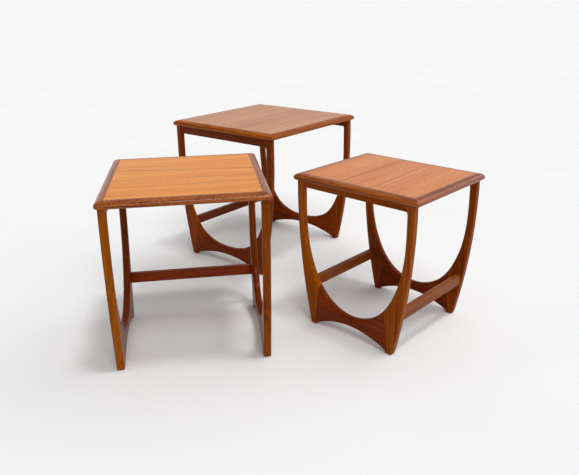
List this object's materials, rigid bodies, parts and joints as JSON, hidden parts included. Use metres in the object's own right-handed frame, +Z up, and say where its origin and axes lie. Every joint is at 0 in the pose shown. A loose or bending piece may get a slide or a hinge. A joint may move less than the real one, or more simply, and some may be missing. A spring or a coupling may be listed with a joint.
{
  "type": "nesting tables",
  "caption": "Nest of teak occasional tables with mitred, rounded lippings and shaped side frames whose curved legs meet a deep arched foot rail.",
  "frame": {"origin": "on the floor, under the middle of the bounding box of the three standing tables", "axes": "+Z up; +Y from the large table's open front to its rear; +X along the large table's width, to its right seen from the front"},
  "size_m": [1.2694, 1.1882, 0.53],
  "materials": {
    "teak_veneer_large": "satin lacquer, straight grain",
    "teak_veneer_medium": "satin lacquer, straight grain",
    "teak_veneer_small": "satin lacquer, straight grain",
    "backing_veneer": "bare balancing veneer",
    "core_board": "raw particle board",
    "teak_lipping_large": "semi-gloss lacquer, solid teak",
    "teak_lipping_medium": "semi-gloss lacquer, solid teak",
    "teak_lipping_small": "semi-gloss lacquer, solid teak",
    "teak_frame_large": "semi-gloss lacquer, solid teak",
    "teak_frame_medium": "semi-gloss lacquer, solid teak",
    "teak_frame_small": "semi-gloss lacquer, solid teak",
    "teak_stretcher_large": "semi-gloss lacquer, solid teak",
    "teak_stretcher_medium": "semi-gloss lacquer, solid teak",
    "teak_stretcher_small": "semi-gloss lacquer, solid teak",
    "beech_dowel": "bare beech",
    "screw_steel": "bright zinc plate"
  },
  "bodies": {
    "large_table": {"large_dowels": "beech_dowel", "large_front_lipping": "teak_lipping_large", "large_left_foot_rail": "teak_frame_large", "large_left_front_leg": "teak_frame_large", "large_left_lipping": "teak_lipping_large", "large_left_rear_leg": "teak_frame_large", "large_left_top_rail": "teak_frame_large", "large_rear_lipping": "teak_lipping_large", "large_rear_stretcher": "teak_stretcher_large", "large_right_foot_rail": "teak_frame_large", "large_right_front_leg": "teak_frame_large", "large_right_lipping": "teak_lipping_large", "large_right_rear_leg": "teak_frame_large", "large_right_top_rail": "teak_frame_large", "large_screws": "screw_steel", "large_top_core": "core_board", "large_top_veneer": "teak_veneer_large", "large_under_veneer": "backing_veneer"},
    "medium_table": {"medium_dowels": "beech_dowel", "medium_front_lipping": "teak_lipping_medium", "medium_left_foot_rail": "teak_frame_medium", "medium_left_front_leg": "teak_frame_medium", "medium_left_lipping": "teak_lipping_medium", "medium_left_rear_leg": "teak_frame_medium", "medium_left_top_rail": "teak_frame_medium", "medium_rear_lipping": "teak_lipping_medium", "medium_rear_stretcher": "teak_stretcher_medium", "medium_right_foot_rail": "teak_frame_medium", "medium_right_front_leg": "teak_frame_medium", "medium_right_lipping": "teak_lipping_medium", "medium_right_rear_leg": "teak_frame_medium", "medium_right_top_rail": "teak_frame_medium", "medium_screws": "screw_steel", "medium_top_core": "core_board", "medium_top_veneer": "teak_veneer_medium", "medium_under_veneer": "backing_veneer"},
    "small_table": {"small_dowels": "beech_dowel", "small_front_lipping": "teak_lipping_small", "small_front_stretcher": "teak_stretcher_small", "small_left_foot_rail": "teak_frame_small", "small_left_front_leg": "teak_frame_small", "small_left_lipping": "teak_lipping_small", "small_left_rear_leg": "teak_frame_small", "small_left_top_rail": "teak_frame_small", "small_rear_lipping": "teak_lipping_small", "small_rear_stretcher": "teak_stretcher_small", "small_right_foot_rail": "teak_frame_small", "small_right_front_leg": "teak_frame_small", "small_right_lipping": "teak_lipping_small", "small_right_rear_leg": "teak_frame_small", "small_right_top_rail": "teak_frame_small", "small_screws": "screw_steel", "small_top_core": "core_board", "small_top_veneer": "teak_veneer_small", "small_under_veneer": "backing_veneer"}
  },
  "joints": [
    {"name": "medium_slide", "type": "slide", "parent": "large_table", "child": "medium_table", "axis": [-0.6743, -0.7385, 0], "range_m": [0, 0.484]},
    {"name": "small_slide", "type": "slide", "parent": "large_table", "child": "small_table", "axis": [-0.0715, -0.9974, 0], "range_m": [0, 0.444]}
  ]
}
